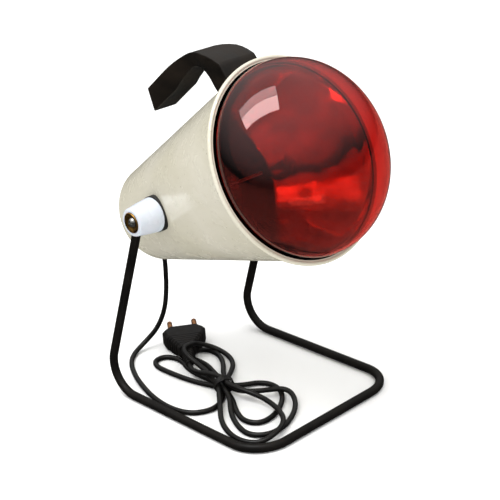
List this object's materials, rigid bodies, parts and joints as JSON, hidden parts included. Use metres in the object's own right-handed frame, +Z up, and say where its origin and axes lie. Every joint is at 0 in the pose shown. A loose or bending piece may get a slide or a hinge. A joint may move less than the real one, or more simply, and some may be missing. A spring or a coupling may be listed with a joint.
{
  "type": "infrared heat lamp",
  "caption": "Tilting infrared heat lamp: a cream conical shade with a red reflector bulb and hook handle, held in a bent wire stand, with a tied mains cord and plug.",
  "frame": {"origin": "on the surface that the stand rests on, under the middle of the lamp without its cord", "axes": "+Z up; the lamp faces -Y, tipped 25 degrees up; the tilt axis runs along X"},
  "size_m": [0.1382, 0.224, 0.2395],
  "materials": {
    "rod_black": "satin black powder coat",
    "boss_white": "gloss white moulding",
    "cup_brass": "worn bright",
    "screw_chrome": "polished",
    "zinc_steel": "zinc plated",
    "shade_cream": "gloss baked enamel",
    "liner_black": "heat-proof black",
    "fibre_black": "pressed fibre",
    "handle_black": "satin bakelite",
    "ceramic_white": "glazed steatite",
    "bulb_red": "red stained glass",
    "mirror_coat": "evaporated aluminium",
    "cap_brass": "rolled thread",
    "insulator_black": "black vitrite",
    "glass_clear": "clear glass",
    "tungsten_grey": "drawn wire",
    "cable_black": "satin PVC",
    "core_brown": "brown insulation",
    "core_blue": "blue insulation",
    "plug_black": "moulded PVC",
    "pin_copper": "plain copper alloy"
  },
  "bodies": {
    "stand": {"stand_rod": "rod_black", "pivot_boss_left": "boss_white", "pivot_boss_right": "boss_white", "cup_washers": "cup_brass", "pivot_screws": "screw_chrome", "inner_washers": "zinc_steel", "pivot_nuts": "zinc_steel", "cord_lead": "cable_black", "cord_hank": "cable_black", "cord_tie": "cable_black", "plug_body": "plug_black", "plug_pins": "pin_copper"},
    "head": {"shade_shell": "shade_cream", "heat_liner": "liner_black", "friction_saddle_left": "fibre_black", "friction_saddle_right": "fibre_black", "inner_saddles": "fibre_black", "handle": "handle_black", "handle_screws": "zinc_steel", "holder_body": "ceramic_white", "holder_thread": "cap_brass", "holder_contact": "cup_brass", "terminals": "cap_brass", "terminal_screws": "zinc_steel", "holder_bracket": "zinc_steel", "holder_screws": "zinc_steel", "bracket_screws": "screw_chrome", "bracket_nuts": "zinc_steel", "cord_gland": "cable_black", "gland_nut": "handle_black", "core_live": "core_brown", "core_neutral": "core_blue"},
    "bulb_contact": {"cap_contact": "tungsten_grey"},
    "bulb": {"bulb_glass": "bulb_red", "bulb_mirror": "mirror_coat", "bulb_cap": "cap_brass", "cap_insulator": "insulator_black", "bulb_stem": "glass_clear", "filament_supports": "tungsten_grey", "filament": "tungsten_grey"}
  },
  "joints": [
    {"name": "head_tilt", "type": "hinge", "parent": "stand", "child": "head", "pos_m": [0, 0.0324, 0.138], "axis": [1, 0, 0], "range_deg": [-65, 65], "deforming": ["cord_lead"]},
    {"name": "bulb_travel", "type": "slide", "parent": "head", "child": "bulb_contact", "axis": [0, 0.9063, -0.4226], "range_m": [-0.01462, 0]},
    {"name": "bulb_turn", "type": "hinge", "parent": "bulb_contact", "child": "bulb", "pos_m": [0, 0.0324, 0.138], "axis": [0, 0.9063, -0.4226], "range_deg": [-1440, 0]}
  ],
  "couplings": [
    {"joint": "bulb_travel", "follows": "bulb_turn", "m_per_rad": 0.00057757}
  ]
}
